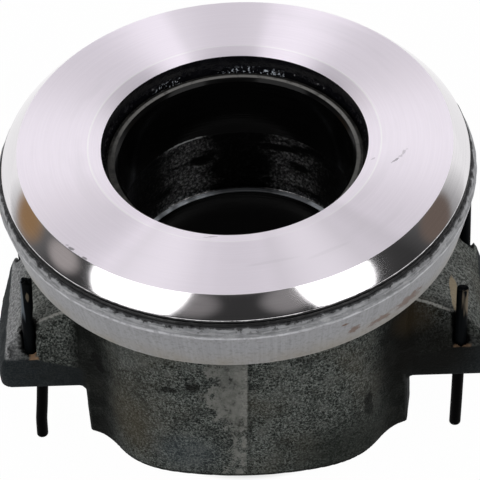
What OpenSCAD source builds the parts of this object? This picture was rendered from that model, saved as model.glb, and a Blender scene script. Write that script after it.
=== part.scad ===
// Clutch release bearing with a cast-iron carrier sleeve, for a lever-and-fork clutch.
// Origin: on the bore's axis, level with the tips of the retaining pins that the part stands on.
// +Z points at the clutch, X runs through the two fork lugs.
// Millimetres throughout.

/* [Thrust ring] */
// Height of the polished thrust face above the sleeve's end
thrust_face_h = 83.5; // [82:0.5:90]
// Outer diameter of the rotating thrust ring
ring_od = 115; // [104:0.5:128]
// Radial width of the polished edge chamfer
edge_w = 4.1; // [2.5:0.1:6]
// Height of the polished edge chamfer
edge_h = 4.5; // [3:0.1:4.7]
// Rise of the chamfer's convex surface over a straight one
edge_crown = 0.6; // [0.2:0.1:0.9]
// Radial gap between the thrust ring and the carrier's snout
ring_gap = 1.1; // [0.6:0.1:1.7]
// Radial width of the bevel that leads from the flat face into the ring's bore
bevel_w = 3.2; // [1.5:0.1:5]
// Drop of that bevel
bevel_h = 0.9; // [0.4:0.1:2]
// Height of the straight rim under the chamfer
rim_h = 0.8; // [0.5:0.1:1]

/* [Rolling set] */
// Diameter of a ball
ball_d = 9; // [8:0.1:9.8]
// Number of balls
ball_count = 20; // [16:1:20]
// Clearance between a ball and its tracks
track_clearance = 0.2; // [0.15:0.05:0.3]
// Space between the faces of the two races
race_gap = 3.2; // [2.4:0.1:3.6]
// Thickness of the fixed race under the ball track
race_web = 2.6; // [2:0.1:2.8]
// Radial space between the snout and the fixed race
race_space = 5; // [4.4:0.1:6]
// Clearance between the cage and each race
cage_gap = 0.4; // [0.3:0.05:0.6]
// Width of cage left on each side of a ball
cage_side = 0.8; // [0.6:0.1:1.6]
// Clearance between a ball and its cage pocket
pocket_clearance = 0.25; // [0.15:0.05:0.4]

/* [Casing] */
// How far the casing's rolled lip reaches out past the thrust ring
lip_out = 0.7; // [0.5:0.1:1.2]
// Gap between the lip and the rim of the thrust ring above it
lip_gap = 1; // [0.7:0.1:1.4]
// Thickness of the lip
lip_t = 1.1; // [0.9:0.1:1.3]
// How far the casing's ridge stands out past the lip
ridge_out = 1; // [0.4:0.1:2]
// Drop from the lip to the ridge
ridge_drop = 2.3; // [2:0.1:4]
// How far the casing's foot is drawn in from the ridge
foot_in = 3; // [1:0.1:4]
// Radius of the rounded foot edge
foot_round = 1.2; // [0.6:0.1:1.6]
// Thickness of the casing's wall
casing_wall = 1.9; // [1.4:0.1:2.2]
// Thickness of the casing's floor
casing_floor = 2; // [1.6:0.1:2.2]
// Height of the bearing from the casing's foot to the thrust face
bearing_h = 21.1; // [21:0.1:22]
// Clearance between seated pieces of the bearing
seat_fit = 0.1; // [0.05:0.05:0.15]

/* [Seals] */
// Radial width of the outer seal
outer_seal_w = 2.1; // [1.8:0.1:2.4]
// Depth of the outer seal inside the casing's lip
outer_seal_h = 1.8; // [1.2:0.1:2.4]
// Running gap between a seal and the thrust ring
seal_gap = 0.4; // [0.3:0.05:0.5]
// Thickness of the inner seal's collar
inner_seal_t = 2.5; // [2:0.1:3]
// Thickness of the inner seal's lip at its edge
inner_lip_t = 1; // [0.8:0.1:1.4]

/* [Retaining ring] */
// Thickness of the ring that holds the bearing on the sleeve
clip_t = 1.6; // [1.2:0.1:1.8]
// How far that ring stands out of the sleeve
clip_out = 3.4; // [2:0.1:4]
// Depth of its groove in the sleeve
clip_groove = 1.2; // [0.8:0.1:1.3]
// Width of the gap between its ends
clip_mouth = 8; // [5:0.5:12]

/* [Sleeve] */
// Guide bore
bore_d = 58; // [52:0.1:62]
// Depth of the grease pocket in the bore
pocket_depth = 1.5; // [0.8:0.1:2.5]
// Height of the pocket's lower edge above the sleeve's end
pocket_foot_h = 39.5; // [30:0.5:44]
// Distance from the pocket's upper edge up to the shoulder
pocket_head_drop = 2.4; // [1.8:0.1:8]
// Wall of the snout inside the bearing
snout_wall = 2.6; // [2.2:0.1:3.2]
// Depth of the snout's end below the thrust face
snout_drop = 5.4; // [4:0.1:6]
// Chamfer at the ends of the guide bore
bore_chamfer = 0.8; // [0.4:0.1:1]
// How far the shoulder that carries the bearing stands out past the body
shoulder_out = 5; // [2:0.5:8]
// Height of the shoulder's straight rim
shoulder_rim = 9; // [6:0.5:10]
// Diameter of the round body
body_d = 84; // [83:0.2:86]
// Width across the crowned front and back faces
front_w = 72.4; // [70:0.2:75]
// Radius of the crown on the front and back faces
crown_r = 92; // [80:1:120]
// Width across the machined side flats
flats_w = 81.8; // [81.4:0.1:82.6]
// Width of the flats, front to back
flats_depth = 37.2; // [36.6:0.2:38]
// Fillet between the round body and the flats' front and back faces
flats_fillet = 4.5; // [3.5:0.1:4.6]

/* [Fork lugs] */
// Diameter of the circle that the lugs' round ends lie on
lug_span = 130.6; // [128:0.2:134]
// Height of the lugs' machined undersides above the sleeve's end
lug_seat_h = 17; // [14:0.5:20]
// Height of the lugs' upright band
band_h = 10.3; // [9:0.1:12]
// Height of the lugs' crest above the sleeve's end, where it meets the plane of the flats
crest_h = 41; // [39:0.5:44]
// Distance from the lugs' round ends in to the crest's shoulder, where it turns down to the nose
crest_in = 8.3; // [7:0.1:11]
// Slope of the crest, in degrees below the level
crest_slope = 19; // [14:0.5:26]
// Slope of the nose, in degrees below the level
nose_slope = 62; // [55:0.5:70]
// Radius of the crest's shoulder
crest_round = 6; // [2:0.5:8]
// Draft of the lugs' upper front and back faces, in degrees
lug_draft = 22; // [16:0.5:24]
// Radius of the lugs' outer corners
lug_corner_r = 3; // [1:0.1:4]
// Fillet between the undersides and the flats
seat_fillet = 2; // [1:0.1:3]

/* [Retaining pins] */
// Wire diameter
pin_d = 3; // [2.6:0.1:3.2]
// How far the pins reach below the sleeve's end
pin_drop = 3.5; // [1:0.1:5]
// Distance of the front pins in from the crown of the lugs' round ends
front_pin_in = 10.9; // [9:0.1:12]
// Distance of the back pins in from the crown of the lugs' round ends
back_pin_in = 7.3; // [7:0.1:9]
// Distance of the pins' axes in from the lugs' front and back faces
pin_edge = 2.4; // [2.2:0.1:2.8]
// Clearance of a pin in its hole
pin_fit = 0.1; // [0.05:0.05:0.2]
// Clearance of a pin in its open well
well_gap = 1.2; // [0.8:0.1:1.4]
// How far the left pins' upper ends lie below the casing
left_pin_low = 7.9; // [6:0.1:18]
// How far the right pins' upper ends lie below the casing
right_pin_low = 16.4; // [6:0.1:18]
// Chamfer on the pins' ends
pin_chamfer = 0.4; // [0.2:0.1:0.6]

/* [Hidden] */
$fn = 96;
cut = 1; // how far a cutter runs past the face that it opens

// Heights of the bearing stack, from the sleeve's end up
base_z = pin_drop;
thrust_face_z = base_z + thrust_face_h;
shoulder_z = thrust_face_z - bearing_h;
floor_z = shoulder_z + casing_floor;
ball_z = floor_z + race_web + track_clearance + ball_d / 2;
race_top_z = ball_z - race_gap / 2;
ring_under_z = ball_z + race_gap / 2;
rim_z = thrust_face_z - edge_h - rim_h;
lip_z = rim_z - lip_gap;
ridge_z = lip_z - ridge_drop;
snout_z = thrust_face_z - snout_drop;
pocket_foot_z = base_z + pocket_foot_h;
pocket_head_z = shoulder_z - pocket_head_drop;

// Diameters that follow the guide bore, from the sleeve out
pocket_d = bore_d + 2 * pocket_depth;
snout_od = bore_d + 2 * snout_wall;
clip_od = snout_od + 2 * clip_out;
ring_bore = snout_od + 2 * ring_gap;
face_id = ring_bore + 2 * bevel_w;
race_bore = snout_od + 2 * race_space;

// Diameters that follow the thrust ring
face_od = ring_od - 2 * edge_w;
lip_od = ring_od + 2 * lip_out;
ridge_od = lip_od + 2 * ridge_out;
foot_od = ridge_od - 2 * foot_in;
shoulder_d = body_d + 2 * shoulder_out;

// Radii of the bearing's fits
lip_in_r = lip_od / 2 - lip_t;
seal_in_r = lip_in_r - outer_seal_w;
skirt_r = seal_in_r - seal_gap;
race_r = foot_od / 2 - casing_wall - seat_fit;
ball_pitch_d = race_bore / 2 + race_r;
track_r = ball_d / 2 + track_clearance;
snout_fit_r = snout_od / 2 + seat_fit;
clip_groove_r = snout_od / 2 - clip_groove;
clip_z = floor_z + seat_fit;
cage_t = race_gap - 2 * cage_gap;
cage_half_w = ball_d / 2 + cage_side;
ball_step = 360 / ball_count;

// Lug places
tip_r = lug_span / 2;
flat_x = flats_w / 2;
lug_half_w = flats_depth / 2;
lug_seat_z = base_z + lug_seat_h;
band_z = lug_seat_z + band_h;
crest_root = [flat_x, base_z + crest_h];
crest_turn = crest_root + (tip_r - crest_in - flat_x) * [1, -tan(crest_slope)];
nose_foot = crest_turn + crest_in * [1, -tan(nose_slope)];

// Pin places
pin_y = lug_half_w - pin_edge;
front_pin_x = tip_r - front_pin_in;
back_pin_x = tip_r - back_pin_in;
left_pin_z = shoulder_z - left_pin_low;
right_pin_z = shoulder_z - right_pin_low;

iron = "#55585a";
steel = "#b9bbbd";
polished = "#e4e2e6";
black = "#1b1c1e";
spring_black = "#26292c";
brass_cage = "#a98a4c";

function ball_name(i) = str("ball_", i < 9 ? "0" : "", i + 1);

// Ring of the ball track, to be cut from a race
module ball_track() {
    rotate_extrude()
        translate([ball_pitch_d / 2, ball_z])
            circle(r = track_r);
}

// Fillet patch in the corner between the round body and the front of the right flat
module body_fillet() {
    body_r = body_d / 2;
    centre_y = lug_half_w + flats_fillet;
    centre_x = sqrt(pow(body_r + flats_fillet, 2) - pow(centre_y, 2));
    on_body = [centre_x, centre_y] * body_r / (body_r + flats_fillet);
    difference() {
        polygon([[on_body.x - cut, 0], on_body, [centre_x, lug_half_w], [centre_x, 0]]);
        translate([centre_x, centre_y])
            circle(r = flats_fillet);
    }
}

// Plan of the body below the bearing: a round body with crowned faces and two flat sides
module body_plan() {
    crown_y = crown_r - front_w / 2;
    intersection() {
        circle(d = body_d);
        square([flats_w, body_d], center = true);
        translate([0, crown_y])
            circle(r = crown_r);
        translate([0, -crown_y])
            circle(r = crown_r);
    }
    square([flats_w, flats_depth], center = true);
    for (mx = [0, 1], my = [0, 1])
        mirror([mx, 0])
            mirror([0, my])
                body_fillet();
}

// Side outline of the right lug, X against Z, under its crest and nose
module lug_side() {
    turn_angle = (nose_slope - crest_slope) / 2;
    tangent = crest_round * tan(turn_angle);
    on_crest = crest_turn - tangent * [cos(crest_slope), -sin(crest_slope)];
    on_nose = crest_turn + tangent * [cos(nose_slope), -sin(nose_slope)];
    centre = on_crest - crest_round * [sin(crest_slope), cos(crest_slope)];
    polygon([
        [0, lug_seat_z], [tip_r, lug_seat_z], nose_foot, on_nose, centre, on_crest,
        crest_root, [0, crest_root.y]
    ]);
    intersection() {
        translate(centre)
            circle(r = crest_round);
        polygon([centre, on_nose, crest_turn, on_crest]);
    }
}

// End outline of a lug, Y against Z: an upright band under drafted faces
module lug_end() {
    top_half_w = lug_half_w - (shoulder_z - band_z) * tan(lug_draft);
    polygon([
        [-lug_half_w, lug_seat_z], [lug_half_w, lug_seat_z], [lug_half_w, band_z],
        [top_half_w, shoulder_z], [-top_half_w, shoulder_z], [-lug_half_w, band_z]
    ]);
}

// Plan of the right lug: straight sides, rounded corners and an end that is round about the bore
module lug_plan() {
    corner_y = lug_half_w - lug_corner_r;
    corner_x = sqrt(pow(tip_r - lug_corner_r, 2) - pow(corner_y, 2));
    translate([0, -lug_half_w])
        square([corner_x, flats_depth]);
    for (side = [-1, 1])
        translate([corner_x, side * corner_y])
            circle(r = lug_corner_r);
    intersection() {
        circle(r = tip_r);
        polygon([[0, 0], 2 * [corner_x, -corner_y], 2 * [corner_x, corner_y]]);
    }
}

// Fillet under the right lug, between its seat and the flat
module seat_fillet_bar() {
    rotate([90, 0, 0])
        linear_extrude(height = flats_depth, center = true)
            difference() {
                translate([flat_x - cut, lug_seat_z - seat_fillet])
                    square([seat_fillet + cut, seat_fillet + cut]);
                translate([flat_x + seat_fillet, lug_seat_z - seat_fillet])
                    circle(r = seat_fillet);
            }
}

// Right fork lug, still solid where the pins pass
module lug() {
    intersection() {
        rotate([90, 0, 0])
            linear_extrude(height = flats_depth, center = true)
                lug_side();
        rotate([90, 0, 90])
            linear_extrude(height = tip_r)
                lug_end();
        linear_extrude(height = shoulder_z)
            lug_plan();
    }
    seat_fillet_bar();
}

// Flange under the bearing, with a sloping underside, and the snout that passes through it
module shoulder_and_snout() {
    rim_foot_z = shoulder_z - shoulder_rim;
    slope = (shoulder_d - body_d) / 2;
    rotate_extrude()
        polygon([
            [0, rim_foot_z - slope], [body_d / 2, rim_foot_z - slope], [shoulder_d / 2, rim_foot_z],
            [shoulder_d / 2, shoulder_z], [snout_od / 2, shoulder_z], [snout_od / 2, snout_z], [0, snout_z]
        ]);
}

// Guide bore with its end chamfers, grease pocket and the outer groove of the retaining ring
module sleeve_cuts() {
    bore_r = bore_d / 2;
    translate([0, 0, base_z - cut])
        cylinder(d = bore_d, h = snout_z - base_z + 2 * cut);
    translate([0, 0, pocket_foot_z])
        cylinder(d = pocket_d, h = pocket_head_z - pocket_foot_z);
    translate([0, 0, base_z])
        cylinder(r1 = bore_r + bore_chamfer, r2 = bore_r, h = bore_chamfer);
    translate([0, 0, snout_z - bore_chamfer])
        cylinder(r1 = bore_r, r2 = bore_r + bore_chamfer, h = bore_chamfer);
    rotate_extrude()
        translate([clip_groove_r, floor_z])
            square([clip_groove + cut / 2, clip_t + 2 * seat_fit]);
}

// Hole and open well of one pin at the given place
module pin_cut(x, y) {
    translate([x, y, lug_seat_z - cut])
        cylinder(d = pin_d + 2 * pin_fit, h = band_h + 2 * cut);
    translate([x, y, band_z])
        cylinder(d = pin_d + 2 * well_gap, h = shoulder_z - band_z);
}

// Cast-iron sleeve that slides on the gearbox guide tube and carries everything else
module carrier() {
    color(iron)
        difference() {
            union() {
                translate([0, 0, base_z])
                    linear_extrude(height = shoulder_z - shoulder_rim - base_z)
                        body_plan();
                shoulder_and_snout();
                for (mx = [0, 1])
                    mirror([mx, 0, 0])
                        lug();
            }
            sleeve_cuts();
            for (side = [-1, 1]) {
                pin_cut(side * front_pin_x, -pin_y);
                pin_cut(side * back_pin_x, pin_y);
            }
        }
}

// Pressed steel cup that holds the fixed race and the outer seal
module casing() {
    foot_r = foot_od / 2;
    color(steel)
        rotate_extrude() {
            difference() {
                polygon([
                    [snout_fit_r, shoulder_z], [foot_r, shoulder_z], [ridge_od / 2, ridge_z],
                    [lip_od / 2, lip_z], [lip_in_r, lip_z], [lip_in_r, ridge_z],
                    [foot_r - casing_wall, floor_z], [snout_fit_r, floor_z]
                ]);
                translate([foot_r - foot_round, shoulder_z - cut])
                    square([foot_round + cut, foot_round + cut]);
            }
            translate([foot_r - foot_round, shoulder_z + foot_round])
                circle(r = foot_round);
        }
}

// Open ring that snaps into the sleeve's groove and holds the casing's floor on the shoulder
module retaining_ring() {
    clip_in_r = clip_groove_r + seat_fit;
    color(spring_black)
        translate([0, 0, clip_z])
            difference() {
                rotate_extrude()
                    translate([clip_in_r, 0])
                        square([clip_od / 2 - clip_in_r, clip_t]);
                translate([-clip_mouth / 2, 0, -cut])
                    cube([clip_mouth, clip_od, clip_t + 2 * cut]);
            }
}

// Hardened lower race, at rest in the casing
module fixed_race() {
    color(steel)
        difference() {
            rotate_extrude()
                translate([race_bore / 2, floor_z])
                    square([race_r - race_bore / 2, race_top_z - floor_z]);
            ball_track();
        }
}

// Flat ring that keeps the balls apart
module cage() {
    cage_in_r = ball_pitch_d / 2 - cage_half_w;
    color(brass_cage)
        difference() {
            rotate_extrude()
                translate([cage_in_r, ball_z - cage_t / 2])
                    square([2 * cage_half_w, cage_t]);
            for (i = [0 : ball_count - 1])
                rotate(i * ball_step)
                    translate([ball_pitch_d / 2, 0, ball_z - cage_t / 2 - cut])
                        cylinder(d = ball_d + 2 * pocket_clearance, h = cage_t + 2 * cut);
        }
}

// Convex skin of the thrust ring's edge chamfer, over the chord between its two edges
module edge_crown_section() {
    low = [ring_od / 2, rim_z + rim_h];
    high = [face_od / 2, thrust_face_z];
    half_chord = norm(high - low) / 2;
    out = [high.y - low.y, low.x - high.x] / (2 * half_chord);
    skin_r = (pow(half_chord, 2) + pow(edge_crown, 2)) / (2 * edge_crown);
    intersection() {
        translate((low + high) / 2 - out * (skin_r - edge_crown))
            circle(r = skin_r);
        polygon([low, low + out * cut, high + out * cut, high]);
    }
}

// Rotating ring whose polished face the clutch levers press on
module thrust_ring() {
    color(polished)
        difference() {
            rotate_extrude() {
                polygon([
                    [ring_bore / 2, ring_under_z], [skirt_r, ring_under_z], [skirt_r, rim_z],
                    [ring_od / 2, rim_z], [ring_od / 2, rim_z + rim_h], [face_od / 2, thrust_face_z],
                    [face_id / 2, thrust_face_z], [ring_bore / 2, thrust_face_z - bevel_h]
                ]);
                edge_crown_section();
            }
            ball_track();
        }
}

// One ball of the ring of balls, counted from the +X side
module ball(i) {
    color(polished)
        rotate(i * ball_step)
            translate([ball_pitch_d / 2, 0, ball_z])
                sphere(d = ball_d);
}

// Rubber ring that fills the casing's lip and shows as a black line under the thrust ring
module outer_seal() {
    seal_top_z = rim_z - seal_gap;
    color(black)
        rotate_extrude()
            polygon([
                [seal_in_r, lip_z - outer_seal_h], [lip_in_r, lip_z - outer_seal_h], [lip_in_r, lip_z],
                [lip_od / 2 - seal_gap, lip_z], [lip_od / 2 - 2 * seal_gap, seal_top_z], [seal_in_r, seal_top_z]
            ]);
}

// Rubber collar on the snout with a lip under the thrust ring
module inner_seal() {
    collar_z = clip_z + clip_t + seat_fit;
    collar_r = snout_fit_r + inner_seal_t;
    lip_r = race_bore / 2 - seal_gap;
    seal_top_z = ring_under_z - seal_gap;
    color(black)
        rotate_extrude()
            polygon([
                [snout_fit_r, collar_z], [collar_r, collar_z], [collar_r, seal_top_z - 2 * inner_lip_t],
                [lip_r, seal_top_z - inner_lip_t], [lip_r, seal_top_z], [snout_fit_r, seal_top_z]
            ]);
}

// Straight spring-steel pin at the given place, from the ground up to its upper end
module pin(x, y, top_z) {
    edge_r = pin_d / 2 - pin_chamfer;
    color(spring_black)
        translate([x, y, 0])
            rotate_extrude()
                polygon([
                    [0, 0], [edge_r, 0], [pin_d / 2, pin_chamfer],
                    [pin_d / 2, top_z - pin_chamfer], [edge_r, top_z], [0, top_z]
                ]);
}

module pin_front_left() { pin(-front_pin_x, -pin_y, left_pin_z); }
module pin_front_right() { pin(front_pin_x, -pin_y, right_pin_z); }
module pin_back_left() { pin(-back_pin_x, pin_y, left_pin_z); }
module pin_back_right() { pin(back_pin_x, pin_y, right_pin_z); }

carrier();
casing();
retaining_ring();
fixed_race();
cage();
thrust_ring();
outer_seal();
inner_seal();
pin_front_left();
pin_front_right();
pin_back_left();
pin_back_right();
for (i = [0 : ball_count - 1])
    ball(i);
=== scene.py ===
# %% [markdown]
# # Dressing a clutch release bearing
# The CAD part is a polished thrust ring that turns in a pressed steel casing, on a cast-iron carrier with two
# fork lugs and four wire pins. This lesson puts finer surfaces and real finishes on that fixed frame: every
# surface is worked out with numpy, and every finish is a small tree of shader nodes.

import bpy
import numpy as np
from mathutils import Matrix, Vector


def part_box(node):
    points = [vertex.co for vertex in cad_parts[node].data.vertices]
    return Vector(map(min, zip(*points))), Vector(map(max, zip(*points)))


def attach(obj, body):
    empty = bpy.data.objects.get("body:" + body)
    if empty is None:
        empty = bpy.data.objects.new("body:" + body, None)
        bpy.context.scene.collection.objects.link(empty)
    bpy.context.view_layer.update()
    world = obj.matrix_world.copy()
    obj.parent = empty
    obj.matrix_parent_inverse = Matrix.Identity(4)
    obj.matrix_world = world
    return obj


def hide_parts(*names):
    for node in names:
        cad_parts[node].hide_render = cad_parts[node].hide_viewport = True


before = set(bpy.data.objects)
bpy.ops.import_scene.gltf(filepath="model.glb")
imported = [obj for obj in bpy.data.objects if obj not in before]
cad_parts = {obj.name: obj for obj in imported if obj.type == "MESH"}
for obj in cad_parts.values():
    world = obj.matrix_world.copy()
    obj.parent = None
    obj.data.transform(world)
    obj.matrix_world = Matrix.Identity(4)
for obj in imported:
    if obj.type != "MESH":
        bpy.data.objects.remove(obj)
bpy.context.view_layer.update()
MM = 0.001

# %% [markdown]
# ## Camera
# The view is a long lens that looks down on the ring at about 44 degrees, rolled by a few degrees and standing a
# little to one side. The three rows of a turned frame give the camera's right, down and forward directions, and
# the place follows from where the middle of the thrust face lies in that frame.

# %% Camera
face_z, ring_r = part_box("thrust_ring")[1].z / MM, 57.5
elevation, roll, turn = np.radians([43.86, 3.54, 2.47])
face_from_lens = ring_r * np.array([-0.024, -0.427, 11.046])
forward = np.array([0, np.cos(elevation), -np.sin(elevation)])
right = np.array([1.0, 0, 0])
down = np.cross(forward, right)
level = np.array([np.cos(roll) * right + np.sin(roll) * down, np.cos(roll) * down - np.sin(roll) * right, forward])
spin = np.array([[np.cos(turn), np.sin(turn), 0], [-np.sin(turn), np.cos(turn), 0], [0, 0, 1]])
view_rows = level @ spin
lens_at = np.array([0, 0, face_z]) - view_rows.T @ face_from_lens

camera = bpy.data.objects.new("camera", bpy.data.cameras.new("camera"))
camera.data.lens = 195
camera.data.sensor_width = 36
place = np.eye(4)
place[:3, :3] = np.array([view_rows[0], -view_rows[1], -view_rows[2]]).T
place[:3, 3] = lens_at * MM
camera.matrix_world = place.T.tolist()
bpy.context.collection.objects.link(camera)
bpy.context.scene.camera = camera
bpy.context.scene.view_settings.view_transform = "Standard"
print("camera at", np.round(lens_at), "mm")

# %% [markdown]
# ## Node helpers
# A finish is a tree of nodes. One helper adds a node, sets its options and fills its sockets, and where a socket
# is given another node's output it draws the link, in that node's tree, so that each finish reads from top to
# bottom. The others are short names for the nodes that come up again and again. Most noises are stepped, drawn out
# into lines, or used to make another edge ragged.


# %% Node helpers
def fill(node, socket, value):
    """Set one of a node's sockets to a value, or link it where the value is another node's output."""
    if isinstance(value, bpy.types.NodeSocket):
        node.id_data.links.new(value, node.inputs[socket])
    else:
        node.inputs[socket].default_value = value


def add(kind, sockets=None, tree=None, **options):
    """One node of that kind: options are its settings, sockets maps its sockets to values or outputs. It goes into
    the tree of the outputs that it is linked to, or into the one that is given."""
    sockets = sockets or {}
    sources = [value for value in sockets.values() if isinstance(value, bpy.types.NodeSocket)]
    made = (tree or sources[0].id_data).nodes.new("ShaderNode" + kind)
    for name, value in options.items():
        setattr(made, name, value)
    for socket, value in sockets.items():
        fill(made, socket, value)
    return made


def math(operation, a, b=0.0, c=0.0, clamp=False):
    """The output of one Math node."""
    return add("Math", {0: a, 1: b, 2: c}, operation=operation, use_clamp=clamp).outputs[0]


def scaled(value, factor, plus):
    """Value times factor plus another value."""
    return math("MULTIPLY_ADD", value, factor, plus)


def vector_math(operation, a, b=(0, 0, 0), out="Vector"):
    """An output of one Vector Math node: its Vector or its Value."""
    return add("VectorMath", {0: a, 1: b}, operation=operation).outputs[out]


def times(*values):
    """The product of several values."""
    product = values[0]
    for value in values[1:]:
        product = math("MULTIPLY", product, value)
    return product


def ramp(value, stops):
    """A Color Ramp on value, from a list of (position, grey or colour) stops."""
    made = add("ValToRGB", {"Fac": value})
    while len(made.color_ramp.elements) < len(stops):
        made.color_ramp.elements.new(1.0)
    for element, (position, colour) in zip(made.color_ramp.elements, stops):
        element.position = position
        element.color = (*colour, 1) if isinstance(colour, tuple) else (colour, colour, colour, 1)
    return made.outputs["Color"]


def mix(share, a, b):
    """Colour a turned into colour b by share."""
    a, b = ((*colour, 1) if isinstance(colour, tuple) else colour for colour in (a, b))
    return add("Mix", {0: share, 6: a, 7: b}, data_type="RGBA").outputs[2]


def paint(tone, colour, *shares):
    """The tone painted over with a colour, as densely as the product of the shares."""
    return mix(times(*shares), tone, colour)


print("colour helpers ready")


# %% Steps, lines and noise
def ease(value, low, high, to_low=0.0, to_high=1.0):
    """A soft step of value from low to high; it falls where low is above high."""
    return add("MapRange", {"Value": value, "From Min": low, "From Max": high, "To Min": to_low, "To Max": to_high},
               interpolation_type="SMOOTHSTEP").outputs["Result"]


def stripe(value, at, outer, inner):
    """1 where value is within inner of at, falling to 0 at a distance of outer."""
    return ease(math("ABSOLUTE", math("SUBTRACT", value, at)), outer, inner)


def noise(vector, scale, detail=3.0, rough=0.55):
    """The grey value of a Noise texture."""
    return add("TexNoise", {"Vector": vector, "Scale": scale, "Detail": detail, "Roughness": rough}).outputs["Fac"]


def stretched(spot, scale):
    """The coordinates times a scale for each axis, for a noise that is drawn out along one of them."""
    return add("Mapping", {0: spot, "Scale": scale}).outputs[0]


def jitter(value, grain, spread):
    """Value moved by a noise: plus spread times (grain less one half), which makes a step's edge ragged."""
    return math("ADD", value, scaled(grain, spread, -spread / 2))


def in_mm(spot):
    """The coordinates in millimetres."""
    return vector_math("MULTIPLY", spot, (1 / MM, 1 / MM, 1 / MM))


def axes(vector):
    """The X, Y and Z of a vector."""
    return add("SeparateXYZ", {0: vector}).outputs


print("node helpers ready")

# %% [markdown]
# ## Floor and light
# Polished steel shows the room it stands in. The room here is white behind and above the part and dark on the
# camera's side, with one soft box on each side of the camera and a few tinted cards round the part. The floor glows
# white for the camera and for mirror rays, but not under the bore, which has to stay dark. For all other light it is
# plain white paint.

# %% Floor
floor_half, floor_z = 3.0, -0.0002
floor_corners = [(x * floor_half, y * floor_half, floor_z) for x, y in ((-1, -1), (1, -1), (1, 1), (-1, 1))]
floor_mesh = bpy.data.meshes.new("floor")
floor_mesh.from_pydata(floor_corners, [], [(0, 1, 2, 3)])
floor = bpy.data.objects.new("floor", floor_mesh)
bpy.context.collection.objects.link(floor)

white_floor = bpy.data.materials.new("white_floor")
white_floor.use_nodes = True
tree = white_floor.node_tree
tree.nodes.clear()
rays = add("LightPath", tree=tree).outputs
seen = math("ADD", math("ADD", rays["Is Camera Ray"], rays["Is Glossy Ray"]), rays["Is Transmission Ray"], clamp=True)
spot = add("NewGeometry", tree=tree).outputs["Position"]
reach = vector_math("LENGTH", spot, out="Value")
outside_bore = ease(reach, 0.029, 0.035)
plain = add("BsdfDiffuse", {"Color": (0.86, 0.86, 0.86, 1)}, tree)
glow = add("Emission", {"Color": (1, 1, 1, 1), "Strength": 1.0}, tree)
both = add("MixShader", {0: times(seen, 0.985, outside_bore), 1: plain.outputs[0], 2: glow.outputs[0]})
add("OutputMaterial", {"Surface": both.outputs[0]})
floor_mesh.materials.append(white_floor)
print("floor", [round(d, 2) for d in floor.dimensions])

# %% Room
world = bpy.data.worlds.new("studio")
world.use_nodes = True
bpy.context.scene.world = world
tree = world.node_tree
tree.nodes.clear()
rays = add("LightPath", tree=tree).outputs
look = add("TexCoord", tree=tree).outputs["Generated"]
toward = axes(look)
room = ramp(scaled(toward["Y"], 0.5, 0.5),
            [(0.0, 0.035), (0.44, 0.04), (0.52, 0.09), (0.60, 0.16), (0.70, 0.45), (0.80, 1.0), (1.0, 1.15)])
room = paint(room, (1.10, 1.08, 1.11), ease(toward["Z"], 0.74, 0.95), 0.9)

# Tinted cards round the part: direction, cosines at which a card begins and is full, tint.
cards = [((-0.90, 0.33, 0.21), 0.974, 0.998, (0.31, 0.19, 0.095)),
         ((-0.92, -0.05, 0.38), 0.983, 0.998, (0.40, 0.37, 0.36)),
         ((-0.30, -0.70, 0.63), 0.975, 0.997, (0.22, 0.21, 0.21)),
         ((0.31, -0.69, 0.64), 0.975, 0.997, (0.26, 0.25, 0.25)),
         ((0.94, 0.20, 0.27), 0.975, 0.992, (0.16, 0.125, 0.105))]
for towards, outer, inner, tint in cards:
    unit = np.array(towards) / np.linalg.norm(towards)
    near = vector_math("DOT_PRODUCT", look, tuple(unit), "Value")
    room = paint(room, tint, ease(near, outer, inner))
seen = math("ADD", rays["Is Camera Ray"], rays["Is Transmission Ray"], clamp=True)
sky = add("Background", {"Color": mix(seen, room, (1.0, 1.0, 1.0)), "Strength": 1.0})
add("OutputWorld", {"Surface": sky.outputs[0]})
print("room nodes:", len(tree.nodes))


# %% Soft boxes
def soft_box(name, azimuth, height, distance, width, tall, radiance):
    """An oval lamp that faces the ring from azimuth degrees off the front; its power gives that radiance."""
    a, h = np.radians([azimuth, height])
    out = np.array([np.sin(a) * np.cos(h), -np.cos(a) * np.cos(h), np.sin(h)])
    side = np.array([np.cos(a), np.sin(a), 0])
    lamp = bpy.data.objects.new(name, bpy.data.lights.new(name, "AREA"))
    lamp.data.shape = "ELLIPSE"
    lamp.data.size, lamp.data.size_y = width, tall
    lamp.data.energy = radiance * np.pi * width * tall * np.pi / 4
    pose = np.eye(4)
    pose[:3, :3] = np.array([side, np.cross(out, side), out]).T
    pose[:3, 3] = out * distance + np.array([0, 0, face_z * MM])
    lamp.matrix_world = pose.T.tolist()
    lamp.visible_camera = False
    bpy.context.collection.objects.link(lamp)
    return lamp


lamps = [soft_box("left_soft_box", -49.5, 37, 0.7, 0.49, 0.64, 2.05),
         soft_box("right_soft_box", 48, 37, 0.7, 0.36, 0.64, 2.2)]
print("lamps:", [(lamp.name, round(lamp.data.energy, 2)) for lamp in lamps])

# %% [markdown]
# ## Turned surfaces
# Most pieces of a bearing are turned on a lathe, so they are profiles carried round an axis. A profile is a
# closed loop of radius and height, its corners are rounded as a tool leaves them, and one outer product of the
# loop with the turn's angles gives every vertex at once.


# %% Profile and lathe helpers
def arc(centre, radius, start, stop, count):
    """Points on a circle: centre plus radius times (cos, sin) of count angles from start to stop degrees."""
    angle = np.radians(np.linspace(start, stop, count))
    return np.asarray(centre) + radius * np.c_[np.cos(angle), np.sin(angle)]


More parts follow.
